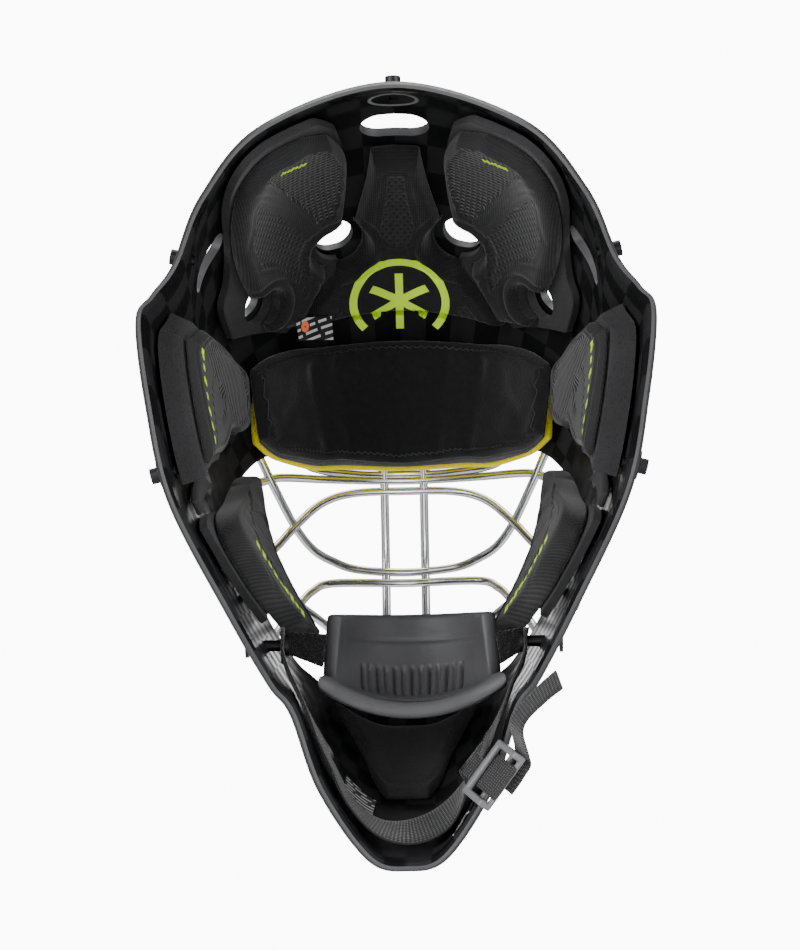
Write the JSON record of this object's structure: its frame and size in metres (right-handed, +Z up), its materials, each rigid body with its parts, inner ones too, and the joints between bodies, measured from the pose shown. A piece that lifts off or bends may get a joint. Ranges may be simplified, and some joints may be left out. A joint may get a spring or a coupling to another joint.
{
  "type": "goalie mask",
  "caption": "Ice-hockey goalie mask with black carbon shell, chromed wire cage, padded liner, chin cup and buckled chin sling.",
  "frame": {"origin": "centre of the wearer's head, midway between the ears at eye height", "axes": "+Z up, +Y the way the wearer looks (towards the cage), +X towards the wearer's right"},
  "size_m": [0.214, 0.2122, 0.3247],
  "materials": {
    "carbon": "clear-coated black chequer-weave carbon inside, satin black outside",
    "wire": "bright chromed wire",
    "steel": "satin steel",
    "backing": "matt dark closed-cell foam",
    "liner": "moulded black knit over foam",
    "yellow_foam": "matt yellow foam",
    "grey_foam": "matt grey foam",
    "velour": "soft black velour with a stitched edge",
    "hook": "black hook tape",
    "cup": "satin moulded grey foam skin",
    "webbing": "black woven webbing",
    "buckle": "satin grey moulded plastic",
    "label": "gloss black label with plain marks"
  },
  "bodies": {
    "shell": {"shell": "carbon", "cage": "wire", "cage_clips": "steel", "cage_screws": "steel", "cage_tnuts": "steel", "harness_studs": "steel", "crown_foam_left": "backing", "crown_foam_right": "backing", "crown_pad_left": "liner", "crown_pad_right": "liner", "forehead_pad": "liner", "yellow_foam": "yellow_foam", "grey_foam": "grey_foam", "sweatband": "velour", "temple_foam_left": "backing", "temple_foam_right": "backing", "temple_pad_left": "liner", "temple_pad_right": "liner", "ear_foam_left": "backing", "ear_foam_right": "backing", "jaw_foam_left": "backing", "jaw_foam_right": "backing", "jaw_pad_left": "liner", "jaw_pad_right": "liner", "chin_foam": "backing", "hook_dots": "hook", "sling_rivets": "steel", "size_label": "label", "chin_label": "label", "liner_tag": "label"},
    "chin_cup": {"chin_cup": "cup", "chin_tab_left": "hook", "chin_tab_right": "hook"},
    "chin_sling": {"sling_strap": "webbing", "sling_tail": "webbing", "sling_elastic": "webbing"},
    "buckle": {"sling_buckle": "buckle"}
  },
  "joints": [
    {"name": "chin_cup_fit", "type": "slide", "parent": "shell", "child": "chin_cup", "axis": [0, 1, 0], "range_m": [-0.005, 0.005]},
    {"name": "sling_swing", "type": "hinge", "parent": "shell", "child": "chin_sling", "pos_m": [0, 0.046, -0.08], "axis": [-1, 0, 0], "range_deg": [0, 40]},
    {"name": "buckle_slide", "type": "slide", "parent": "chin_sling", "child": "buckle", "axis": [-0.4722, 0.6583, 0.5863], "range_m": [0, 0.008], "deforming": ["sling_elastic"]}
  ]
}
